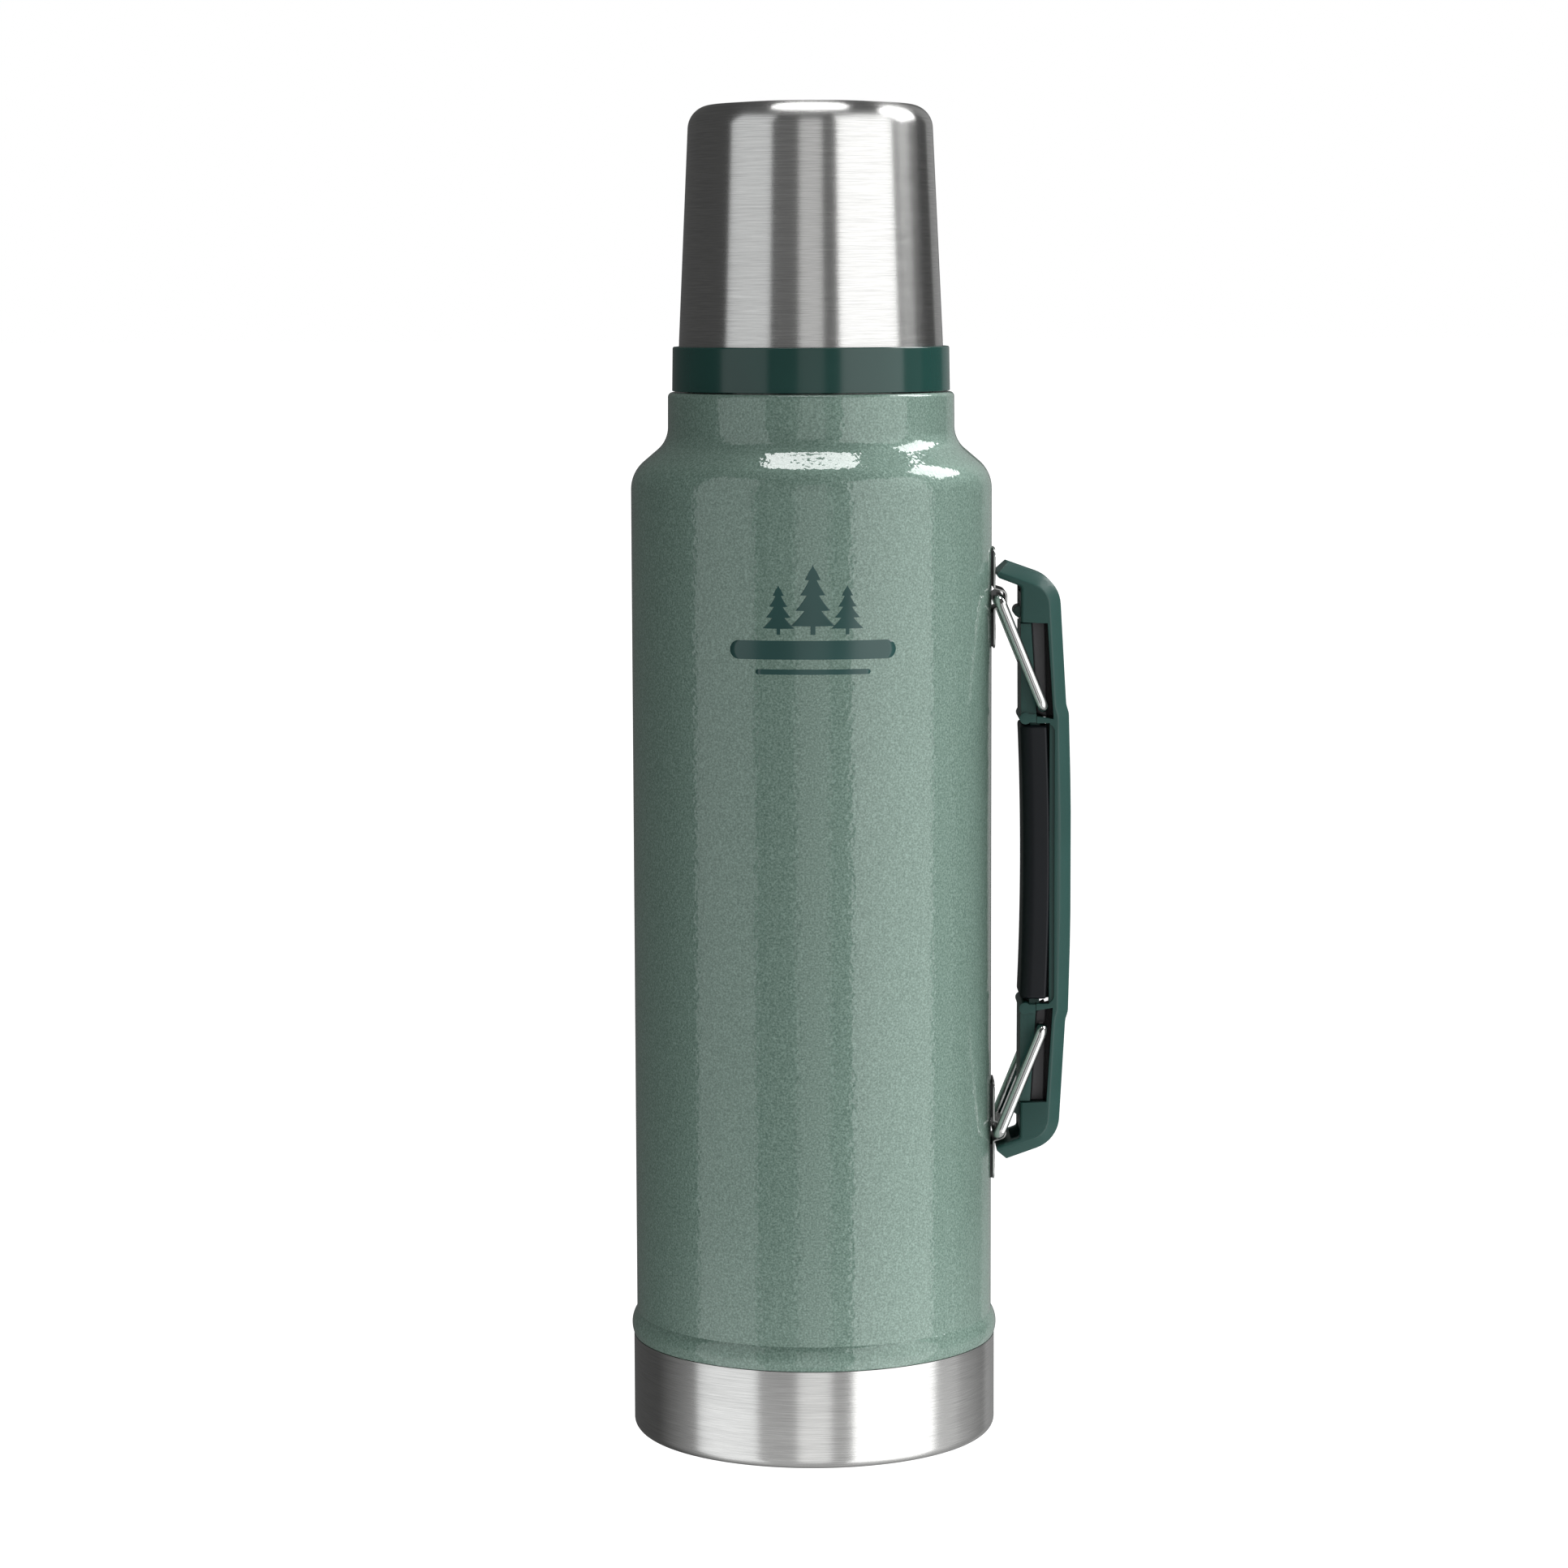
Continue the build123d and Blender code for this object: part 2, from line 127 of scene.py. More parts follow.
def arc_through(first, middle, last, steps=14):
    """Points on the circle through three points of a plane, from the first to the last."""
    a, b, c = (np.asarray(p, float) for p in (first, middle, last))
    matrix = 2 * np.array([b - a, c - a])
    centre = np.linalg.solve(matrix, [b @ b - a @ a, c @ c - a @ a])
    angles = np.unwrap([math.atan2(*(p - centre)[::-1]) for p in (a, b, c)])
    angle = np.linspace(angles[0], angles[2], steps)
    return centre + np.linalg.norm(a - centre) * np.stack([np.cos(angle), np.sin(angle)], axis=-1)


def inward(line, wall):
    """The line moved by wall to its left, which is the inside of a profile that runs outwards
    along the bottom, up the side and inwards along the top. At a point between two runs, the
    shift is along the mean normal, lengthened by one over the cosine of half the turn."""
    runs = np.diff(line, axis=0)
    runs = runs / np.linalg.norm(runs, axis=1, keepdims=True)
    left = np.stack([-runs[:, 1], runs[:, 0]], axis=-1)
    before = np.concatenate([left[:1], left])
    after = np.concatenate([left, left[-1:]])
    mean = before + after
    return line + wall * mean * 2 / np.sum(mean * mean, axis=1, keepdims=True)


def sheet_profile(line, wall):
    """Outside and inside of a sheet as one profile. It starts and ends on the axis where the line
    touches the axis, and it is a closed ring where it doesn't."""
    inside = inward(line, wall)[::-1]
    return np.concatenate([inside, line] if line[-1, 0] < 1e-9 else [line, inside])


print("a quarter turn of radius 3 takes", len(rounded([(0, 0), (9, 0), (9, 9)], [3.0])), "points")

# %% [markdown]
# ## Turned surfaces
# A lathe shape is a grid: one parameter runs along the profile and the other goes round the axis.
# The grid's last column joins its first, so there is no seam, and a row that lies on the axis is one
# point, so there is no open pole. The profile's direction decides which way the faces look.


# %% Grids into meshes
def placed(name, data):
    """A new object at the origin, linked to the scene."""
    piece = bpy.data.objects.new(name, data)
    bpy.context.scene.collection.objects.link(piece)
    return piece


def grid_mesh(name, grid, closed=False, first_pole=False, last_pole=False, sharp=35.0):
    """A mesh from a grid of rows and columns. Columns close into rings; closed joins the last row
    to the first; a pole row becomes one vertex with a fan of triangles."""
    rows = grid[int(first_pole):len(grid) - int(last_pole)]
    count, around = rows.shape[:2]
    index = np.arange(count * around).reshape(count, around)
    above = np.roll(index, -1, axis=0) if closed else index[1:]
    below = index if closed else index[:-1]
    quads = np.stack([below, np.roll(below, -1, 1), np.roll(above, -1, 1), above], -1).reshape(-1, 4)
    faces, vertices = quads.tolist(), rows.reshape(-1, 3)
    for wanted, row, pole in ((first_pole, index[0], grid[0, 0]), (last_pole, index[-1], grid[-1, 0])):
        if wanted:
            tip = np.full(around, len(vertices))
            fan = [np.roll(row, -1), row, tip] if row[0] == 0 else [row, np.roll(row, -1), tip]
            faces += np.stack(fan, -1).tolist()
            vertices = np.concatenate([vertices, pole[None]])
    mesh = bpy.data.meshes.new(name)
    mesh.from_pydata(vertices.tolist(), [], faces)
    mesh.update()
    mesh.shade_smooth()
    mesh.set_sharp_from_angle(angle=math.radians(sharp))
    return placed(name, mesh)


def turned(name, profile, around=256, sharp=35.0):
    """A surface of revolution: x = r cos a, y = r sin a, for each point (r, z) of the profile."""
    profile = np.asarray(profile, float)
    angle = np.linspace(0, 2 * math.pi, around, endpoint=False)
    radius, height = profile[:, :1], profile[:, 1:]
    grid = np.stack([radius * np.cos(angle), radius * np.sin(angle), height + 0 * angle], axis=-1)
    poles = profile[0, 0] < 1e-9, profile[-1, 0] < 1e-9
    return grid_mesh(name, grid, closed=not any(poles), first_pole=poles[0], last_pole=poles[1],
                     sharp=sharp)


def capped(piece):
    """Close the open ends of a tube-like mesh and turn its faces outwards."""
    work = bmesh.new()
    work.from_mesh(piece.data)
    bmesh.ops.holes_fill(work, edges=[edge for edge in work.edges if edge.is_boundary], sides=0)
    bmesh.ops.recalc_face_normals(work, faces=work.faces)
    work.to_mesh(piece.data)
    work.free()


def report(piece):
    """Print what was made."""
    size = [round(value / MM, 1) for value in piece.dimensions]
    print(f"{piece.name}: {len(piece.data.polygons)} faces, {size} mm")


# %% [markdown]
# ## Shader tools
# The finishes share three effects: fine grain for moulded and rubber surfaces, brushing that runs
# round the axis, and the cells of hammered enamel. Each is a node group that puts out only numbers,
# so that the Principled shader stays in its own material where its constants can be read.


# %% Material helpers
def new_material(name, color, roughness, metallic=0.0, **sockets):
    """A Principled material with its constants set on the shader's own sockets."""
    material = bpy.data.materials.new(name)
    material.use_nodes = True
    shader = material.node_tree.nodes["Principled BSDF"]
    shader.inputs["Base Color"].default_value = (*color, 1.0)
    shader.inputs["Roughness"].default_value = roughness
    shader.inputs["Metallic"].default_value = metallic
    for socket, value in sockets.items():
        shader.inputs[socket.replace("_", " ")].default_value = value
    material.diffuse_color = (*color, 1.0)
    return material, material.node_tree, shader


def add_node(tree, kind, inputs=None, **settings):
    """A node with its settings and its constant inputs."""
    node = tree.nodes.new(kind)
    for key, value in settings.items():
        setattr(node, key, value)
    for socket, value in (inputs or {}).items():
        node.inputs[socket].default_value = value
    return node


def number_group(name, inputs, outputs):
    """An empty node group with float and vector sockets: inputs maps a name to its default."""
    group = bpy.data.node_groups.new(name, "ShaderNodeTree")
    for socket, value in inputs.items():
        kind = "NodeSocketVector" if value is None else "NodeSocketFloat"
        made = group.interface.new_socket(name=socket, in_out="INPUT", socket_type=kind)
        if value is not None:
            made.default_value = value
    for socket in outputs:
        group.interface.new_socket(name=socket, in_out="OUTPUT", socket_type="NodeSocketFloat")
    return group, group.nodes.new("NodeGroupInput"), group.nodes.new("NodeGroupOutput")


def place_group(tree, group, **inputs):
    """A group node fed with the piece's own coordinates."""
    coordinates = add_node(tree, "ShaderNodeTexCoord")
    node = add_node(tree, "ShaderNodeGroup")
    node.node_tree = group
    tree.links.new(coordinates.outputs["Object"], node.inputs["Vector"])
    for socket, value in inputs.items():
        node.inputs[socket].default_value = value
    return node


def bump(tree, shader, height, strength, distance):
    """Feed a height into the shader's normal."""
    node = add_node(tree, "ShaderNodeBump", {"Strength": strength, "Distance": distance})
    tree.links.new(height, node.inputs["Height"])
    tree.links.new(node.outputs["Normal"], shader.inputs["Normal"])
    return node


def ramp(tree, value, stops):
    """A colour ramp over a value: stops are (position, colour)."""
    node = tree.nodes.new("ShaderNodeValToRGB")
    for element, (position, color) in zip(node.color_ramp.elements, (stops[0], stops[-1])):
        element.position, element.color = position, (*color, 1.0)
    for position, color in stops[1:-1]:
        node.color_ramp.elements.new(position).color = (*color, 1.0)
    tree.links.new(value, node.inputs["Fac"])
    return node.outputs["Color"]


def spread(tree, value, low, high):
    """A value from 0..1 spread over low..high."""
    node = add_node(tree, "ShaderNodeMapRange", {"To Min": low, "To Max": high})
    tree.links.new(value, node.inputs["Value"])
    return node.outputs["Result"]


# %% Shared effects
def make_grain_group():
    """Moulded grain: fine noise with a slower drift over it. Scale is in cells per metre."""
    group, source, result = number_group("moulded_grain", {"Vector": None, "Scale": 2500.0},
                                         ["Grain", "Drift"])
    fine = add_node(group, "ShaderNodeTexNoise", {"Detail": 3.0, "Roughness": 0.55})
    slow = add_node(group, "ShaderNodeTexNoise", {"Scale": 45.0, "Detail": 2.0})
    group.links.new(source.outputs["Vector"], fine.inputs["Vector"])
    group.links.new(source.outputs["Scale"], fine.inputs["Scale"])
    group.links.new(source.outputs["Vector"], slow.inputs["Vector"])
    group.links.new(fine.outputs["Fac"], result.inputs["Grain"])
    group.links.new(slow.outputs["Fac"], result.inputs["Drift"])
    return group


def make_brush_group():
    """Brushing round the axis: noise that is stretched so far round that it changes only with height."""
    group, source, result = number_group("round_brushing", {"Vector": None, "Lines": 6000.0},
                                         ["Lines", "Bands"])
    squeeze = add_node(group, "ShaderNodeVectorMath", operation="MULTIPLY")
    squeeze.inputs[1].default_value = (0.014, 0.014, 1.0)
    lines = add_node(group, "ShaderNodeTexNoise", {"Detail": 4.0, "Roughness": 0.7})
    bands = add_node(group, "ShaderNodeTexNoise", {"Scale": 900.0, "Detail": 2.0})
    group.links.new(source.outputs["Vector"], squeeze.inputs[0])
    group.links.new(source.outputs["Lines"], lines.inputs["Scale"])
    for noise in (lines, bands):
        group.links.new(squeeze.outputs["Vector"], noise.inputs["Vector"])
    group.links.new(lines.outputs["Fac"], result.inputs["Lines"])
    group.links.new(bands.outputs["Fac"], result.inputs["Bands"])
    return group


def make_hammer_group():
    """Hammered enamel: soft cells, bent by noise so that no two are alike, with fine flakes in them."""
    group, source, result = number_group("hammered", {"Vector": None, "Cells": 900.0}, ["Dimple", "Fleck"])
    wander = add_node(group, "ShaderNodeTexNoise", {"Scale": 700.0, "Detail": 1.0})
    amount = add_node(group, "ShaderNodeVectorMath", operation="MULTIPLY")
    amount.inputs[1].default_value = (0.0012, 0.0012, 0.0012)
    moved = add_node(group, "ShaderNodeVectorMath", operation="ADD")
    cells = add_node(group, "ShaderNodeTexVoronoi", feature="SMOOTH_F1")
    cells.inputs["Smoothness"].default_value = 0.6
    flecks = add_node(group, "ShaderNodeTexNoise", {"Scale": 2000.0, "Detail": 2.0, "Roughness": 0.6})
    links = group.links
    links.new(source.outputs["Vector"], wander.inputs["Vector"])
    links.new(wander.outputs["Color"], amount.inputs[0])
    links.new(source.outputs["Vector"], moved.inputs[0])
    links.new(amount.outputs["Vector"], moved.inputs[1])
    links.new(moved.outputs["Vector"], cells.inputs["Vector"])
    links.new(source.outputs["Cells"], cells.inputs["Scale"])
    links.new(source.outputs["Vector"], flecks.inputs["Vector"])
    links.new(cells.outputs["Distance"], result.inputs["Dimple"])
    links.new(flecks.outputs["Fac"], result.inputs["Fleck"])
    return group


GRAIN, BRUSHING, HAMMER = make_grain_group(), make_brush_group(), make_hammer_group()
print("node groups:", [group.name for group in bpy.data.node_groups])

# %% [markdown]
# ## The finishes
# Hammered enamel is paint that shrinks into small dimples as it dries. It has two layers here: a
# metallic base whose flakes catch the light, and a clear coat with its own, gentler dimples, so that
# a reflection keeps a crisp edge that only wobbles. Steel is brushed round the axis, so its
# reflections are sharp sideways and long up and down; the anisotropic shader with a radial tangent
# does that without thousands of real scratches.


# %% Enamel
def hammered_enamel():
    """Grey-green enamel: metal flakes under a clear coat, and dimples that bend the coat's gloss."""
    material, tree, shader = new_material("hammered_enamel", (0.18, 0.28, 0.235), 0.58, 0.35, IOR=1.5)
    shader.inputs["Coat Weight"].default_value = 1.0
    shader.inputs["Coat Roughness"].default_value = 0.025
    shader.inputs["Coat IOR"].default_value = 1.55
    effect = place_group(tree, HAMMER, Cells=760.0)
    shades = [(0.32, (0.096, 0.170, 0.134)), (0.50, (0.156, 0.246, 0.203)), (0.68, (0.240, 0.350, 0.298))]
    tree.links.new(ramp(tree, effect.outputs["Fleck"], shades), shader.inputs["Base Color"])
    height = add_node(tree, "ShaderNodeMath", operation="MULTIPLY_ADD")
    tree.links.new(effect.outputs["Fleck"], height.inputs[0])
    height.inputs[1].default_value = 0.22
    tree.links.new(effect.outputs["Dimple"], height.inputs[2])
    gloss = bump(tree, shader, effect.outputs["Dimple"], 0.62, 0.00007)     # for the coat alone
    tree.links.new(gloss.outputs["Normal"], shader.inputs["Coat Normal"])
    bump(tree, shader, height.outputs["Value"], 0.62, 0.00016)
    return material


# %% Steel
def brushed_steel(name, color, roughness, lines=6000.0, depth=0.25):
    """Steel brushed round the axis."""
    material, tree, shader = new_material(name, color, roughness, 1.0, Anisotropic=0.93)
    shader.inputs["Anisotropic Rotation"].default_value = 0.25
    effect = place_group(tree, BRUSHING, Lines=lines)
    dark = tuple(0.78 * channel for channel in color)
    light = tuple(min(1.0, 1.18 * channel) for channel in color)
    shade = ramp(tree, effect.outputs["Lines"], [(0.3, dark), (0.7, light)])
    tree.links.new(shade, shader.inputs["Base Color"])
    tree.links.new(spread(tree, effect.outputs["Bands"], roughness - 0.03, roughness + 0.03),
                   shader.inputs["Roughness"])
    tangent = add_node(tree, "ShaderNodeTangent", direction_type="RADIAL", axis="Z")
    tree.links.new(tangent.outputs["Tangent"], shader.inputs["Tangent"])
    bump(tree, shader, effect.outputs["Lines"], depth, 0.00002)
    return material


def polished_steel():
    """Drawn and polished wire: nearly a mirror, with faint drawing marks."""
    material, tree, shader = new_material("polished_wire", (0.66, 0.67, 0.66), 0.10, 1.0)
    effect = place_group(tree, GRAIN, Scale=3000.0)
    tree.links.new(spread(tree, effect.outputs["Drift"], 0.06, 0.18), shader.inputs["Roughness"])
    bump(tree, shader, effect.outputs["Grain"], 0.05, 0.00002)
    return material


# %% Plastic, rubber and the rest
def moulded(name, color, roughness, grain=2500.0, depth=0.15, drift=0.12, **sockets):
    """Moulded plastic or rubber: fine grain in the normal, a slow drift in colour and gloss."""
    material, tree, shader = new_material(name, color, roughness, **sockets)
    effect = place_group(tree, GRAIN, Scale=grain)
    dark = tuple(channel * (1 - drift) for channel in color)
    light = tuple(min(1.0, channel * (1 + drift)) for channel in color)
    shade = ramp(tree, effect.outputs["Drift"], [(0.3, dark), (0.7, light)])
    tree.links.new(shade, shader.inputs["Base Color"])
    tree.links.new(spread(tree, effect.outputs["Drift"], roughness - 0.05, roughness + 0.05),
                   shader.inputs["Roughness"])
    bump(tree, shader, effect.outputs["Grain"], depth, 0.00003)
    return material


MATERIALS = {
    "painted_steel": hammered_enamel(),
    "brushed_steel": brushed_steel("brushed_cup_steel", (0.60, 0.60, 0.59), 0.25),
    "plain_steel": brushed_steel("drawn_steel", (0.55, 0.55, 0.54), 0.32, lines=3500.0),
    "polished_steel": polished_steel(),
    "stamped_steel": moulded("stamped_steel", (0.52, 0.52, 0.51), 0.34, depth=0.1, metallic=1.0),
    "handle_plastic": moulded("handle_plastic", (0.016, 0.064, 0.055), 0.33, drift=0.08,
                              Specular_IOR_Level=0.4),
    "grip_rubber": moulded("grip_rubber", (0.0035, 0.005, 0.0075), 0.44, grain=3500.0, depth=0.3,
                           Specular_IOR_Level=0.3),
    "guide_plastic": moulded("guide_plastic", (0.075, 0.073, 0.078), 0.36),
    "ring_plastic": moulded("ring_plastic", (0.010, 0.050, 0.042), 0.16, depth=0.04, drift=0.06),
    "stopper_plastic": moulded("stopper_plastic", (0.020, 0.060, 0.050), 0.40),
    "pad_rubber": moulded("pad_rubber", (0.012, 0.012, 0.013), 0.60),
    "foam": moulded("rigid_foam", (0.62, 0.56, 0.42), 0.85, grain=900.0, depth=0.8),
    "silicone": moulded("silicone", (0.48, 0.48, 0.46), 0.35, depth=0.05),
    "foil": moulded("bright_foil", (0.80, 0.80, 0.81), 0.22, grain=300.0, depth=0.6, metallic=1.0),
    "getter_metal": moulded("getter_metal", (0.16, 0.15, 0.14), 0.75, grain=4000.0, depth=0.8,
                            metallic=0.6),
}
SLOT_OF = {part["node"]: part["material_slot"] for part in frame["record"]["subparts"]}
print(len(MATERIALS), "finishes for", len(SLOT_OF), "nodes")


def dress(piece, slot):
    """Give a piece one finish."""
    piece.data.materials.clear()
    piece.data.materials.append(MATERIALS[slot])


for node_name, slot_name in SLOT_OF.items():
    dress(nodes[node_name], slot_name)


def stands_for(piece, *names):
    """A new surface takes over CAD nodes: it rides on their body, takes their slot's finish and hides them.
    """
    bodies = frame["record"]["behaviour"]["bodies"]
    body = next(body for body, members in bodies.items() if names[0] in members)
    dress(piece, SLOT_OF[names[0]])
    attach(piece, body)
    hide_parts(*names)
    report(piece)


def joins(piece, slot, body):
    """A new surface beside the CAD nodes: it takes a finish from a slot and rides on a body."""
    dress(piece, slot)
    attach(piece, body)
    report(piece)


# %% [markdown]
# ## The painted body
# One drawn tube makes the body, its shoulder and its neck, and a bead is rolled into it above the
# steel base. The profile starts inside the base cup, swells over the bead, runs straight up, leans
# in at the shoulder and turns over into the flange that holds the neck collar.

# %% Body, shoulder and neck
WALL = 0.7 * MM
shell_low = low_of("outer_shell")
bead_low, bead_mid, bead_top = band_top + 0.2 * MM, band_top + 2.9 * MM, band_top + 6.7 * MM
shoulder_z, neck_foot_z = neck_top - 21.87 * MM, neck_top - 13.18 * MM
bead = arc_through((band_r - 0.05 * MM, bead_low), (bead_r - 0.02 * MM, bead_mid), (body_r, bead_top))
upper = rounded([(body_r, bead_top + 0.5 * MM), (body_r, shoulder_z), (neck_r + 0.1 * MM, neck_foot_z),
                 (neck_r, neck_top), (neck_r - 5 * MM, neck_top)],
                [10 * MM, 8 * MM, 1.3 * MM], degrees_per_step=3.0)
tuck = np.array([(body_r, shell_low), (body_r, bead_low)])
painted = turned("painted_body", sheet_profile(np.concatenate([tuck, bead, upper]), WALL))
stands_for(painted, "outer_shell")

# %% [markdown]
# ## The bare steel base and the cup
# Both are drawn steel, brushed on a lathe. The base has a pressed ring underneath that leaves a
# flat foot outside it and a flat disc inside it. The cup narrows slightly towards its crown.

# %% Base cup
foot = rounded([(0, 0), (31 * MM, 0), (32 * MM, 0.9 * MM), (36 * MM, 0.9 * MM), (37 * MM, 0), (band_r, 0),
                (band_r, band_top)], [0.8 * MM] * 4 + [2.8 * MM])
base = turned("steel_base", sheet_profile(foot, WALL))
stands_for(base, "base_cup")

# %% Steel cup
CUP_WALL = 0.5 * MM
crown_r = cup_foot_r - 3.2 * MM
cup_corners = [(cup_foot_r, cup_foot_z), (crown_r, cup_top - 1.2 * MM), (16 * MM, cup_top), (0, cup_top)]
cup_line = rounded(cup_corners, [6.5 * MM, 120 * MM], degrees_per_step=3.0)
cup = turned("steel_cup", sheet_profile(cup_line, CUP_WALL))
stands_for(cup, "cup_shell")

# %% [markdown]
# ## Screw threads
# A thread ridge is a small trapezium carried along a helix. Its height fades to nothing over the
# first and last eighth of a turn, as a rolled thread's does, so its ends need no caps.


# %% Thread ridge
def thread(name, root, crest, low, high, pitch=5 * MM, width=1.7 * MM, per_turn=96):
    """A helical ridge: at angle a the height is low + pitch * a / (2 pi), and the four corners of the
    section sit just under the root radius or at root + (crest - root) * fade(a)."""
    turns = (high - low) / pitch
    angle = np.linspace(0, 2 * math.pi * turns, int(per_turn * turns))[:, None]
    fade = np.clip(np.minimum(angle, angle[-1] - angle) / (math.pi / 4), 0.02, 1.0)
    way = math.copysign(1.0, crest - root)
    rise = np.array([0.0, 1.0, 1.0, 0.0])
    up = np.array([-0.5, -0.22, 0.22, 0.5]) * width
    radius = root - way * 0.2 * MM * (1 - rise) + (crest - root) * rise * fade
    height = low + pitch * angle / (2 * math.pi) + up
    corners = np.stack([radius * np.cos(angle), radius * np.sin(angle), height], axis=-1)
    ridge = grid_mesh(name, corners, sharp=50.0)
    capped(ridge)
    return ridge


# %% [markdown]
# ## The cup's plastic liner
# The glossy ring that shows below the steel is the outside of a one-piece liner. It grips the steel
# cup's edge in a groove and carries on up as the inside of the cup.

# %% Liner with its ring
ring_top = ring_low + 12.1 * MM
LINER_THREAD_R = 34.6 * MM
wall_z = ring_top + 33.7 * MM        # where the straight inside of the cup begins to lean
groove_z = cup_foot_z - 0.1 * MM     # bottom of the groove that holds the steel edge
inside_line = [(0, cup_top - 3.5 * MM), (30.7 * MM, cup_top - 5.0 * MM), (32.8 * MM, wall_z),
               (34.0 * MM, ring_top + 2.2 * MM), (LINER_THREAD_R, ring_top + 1.3 * MM),
               (LINER_THREAD_R, ring_low)]
ring_line = [(ring_r, ring_low), (ring_r - 0.2 * MM, ring_top), (36.4 * MM, ring_top), (36.4 * MM, groove_z)]
outside_line = [(35.7 * MM, groove_z), (34.0 * MM, wall_z), (31.9 * MM, cup_top - 3.7 * MM),
                (0, cup_top - 2.1 * MM)]
corner_radii = np.array([4, 60, 0.3, 0.3, 0.2, 0.25, 0.5, 0.15, 0.15, 0.15, 60, 5]) * MM
liner_line = rounded(inside_line + ring_line + outside_line, corner_radii, degrees_per_step=10.0)
liner = turned("cup_liner_ring", liner_line)
stands_for(liner, "cup_liner")
cup_thread = thread("cup_thread", LINER_THREAD_R, LINER_THREAD_R - 0.7 * MM,
                    ring_low + 2.3 * MM, ring_low + 9.8 * MM)
joins(cup_thread, "ring_plastic", "cup")

# %% [markdown]
# ## Wire links
# Each link is one bent wire. Its line lies in a plane, so one fixed normal carries the round section
# along it with no twist, and the last rows of the section shrink to round the cut ends.

# %% Wire links
WIRE_R = 1.5 * MM
LEG_Y, STUB_Y = 12.5 * MM, 6.4 * MM          # the legs, and the cut ends in the handle
END_BEND, LEG_BEND = 2.0 * MM, 2.2 * MM


def bent_wire(name, corners, radii, wire_r, around=32):
    """A round section carried along a plane line. A point of the tube is
    p + wire_r * (cos b * n + sin b * (n x t)), with t along the line and n the plane's normal."""
    line = rounded(corners, radii, degrees_per_step=5.0)
    run = np.gradient(line, axis=0)
    run = run / np.linalg.norm(run, axis=1, keepdims=True)
    normal = np.cross(corners[1] - corners[0], corners[2] - corners[1])
    normal = normal / np.linalg.norm(normal)
    cap = np.linspace(0, math.pi / 2, 6)[:-1]
    shrink = np.concatenate([[1e-9], np.sin(cap[1:]), np.ones(len(line)), np.sin(cap[1:])[::-1], [1e-9]])
    depth = 0.8 * wire_r
    start = line[0] - run[0] * (depth * np.cos(cap))[:, None] + run[0] * depth
    stop = line[-1] + run[-1] * (depth * np.cos(cap[::-1]))[:, None] - run[-1] * depth
    line[0], line[-1] = start[-1] + run[0] * 1e-6, stop[0] - run[-1] * 1e-6
    line = np.concatenate([start, line, stop])
    run = np.concatenate([np.repeat(run[:1], len(cap), 0), run, np.repeat(run[-1:], len(cap), 0)])
    angle = np.linspace(0, 2 * math.pi, around, endpoint=False)[None, :, None]
    side = np.cross(normal, run)[:, None, :]
    ring = np.cos(angle) * normal + np.sin(angle) * side
    grid = line[:, None, :] + wire_r * shrink[:, None, None] * ring
    return grid_mesh(name, grid, first_pole=True, last_pole=True)


for place in ("upper", "lower"):
    low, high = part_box(f"wire_link_{place}")
    pivot_x, end_x = low.x + WIRE_R, high.x - WIRE_R
    pivot_z, end_z = high.z - WIRE_R, low.z + WIRE_R
    if place == "lower":
        pivot_z, end_z = end_z, pivot_z
    corners = np.array([(end_x, -STUB_Y, end_z), (end_x, -LEG_Y, end_z), (pivot_x, -LEG_Y, pivot_z),
                        (pivot_x, LEG_Y, pivot_z), (end_x, LEG_Y, end_z), (end_x, STUB_Y, end_z)])
    wire = bent_wire(f"link_wire_{place}", corners, [END_BEND, LEG_BEND, LEG_BEND, END_BEND], WIRE_R)
    stands_for(wire, f"wire_link_{place}")

# %% [markdown]
# ## The handle's mouldings
# The handle's shell, frame, guides and straps have the right shapes already. What they lack is the
# small radius that every moulded or stamped edge has, which is where the light catches. A copy of
# each is joined up, its flat faces are merged, and a bevel rounds what is left.


# %% Rounded edges on CAD shapes
def eased(node, name, width, segments=3, limit=28.0):
    """A copy of a CAD node with its edges rounded by a bevel."""
    source = nodes[node]
    mesh = source.data.copy()
    work = bmesh.new()
    work.from_mesh(mesh)
    bmesh.ops.remove_doubles(work, verts=work.verts, dist=1e-6)
    bmesh.ops.dissolve_limit(work, angle_limit=math.radians(0.6), verts=work.verts, edges=work.edges)
    work.to_mesh(mesh)
    work.free()
    mesh.name = name
    mesh.shade_smooth()
    piece = placed(name, mesh)
    edge = piece.modifiers.new("edge", "BEVEL")
    edge.width, edge.segments, edge.limit_method = width, segments, "ANGLE"
    edge.angle_limit = math.radians(limit)
    edge.harden_normals = True
    stands_for(piece, node)
    return piece


eased("handle_shell", "handle_outer_moulding", 0.45 * MM)
eased("handle_frame", "handle_inner_moulding", 0.3 * MM)
for place in ("upper", "lower"):
    dress(eased(f"strap_{place}", f"wire_strap_{place}", 0.26 * MM), "stamped_steel")
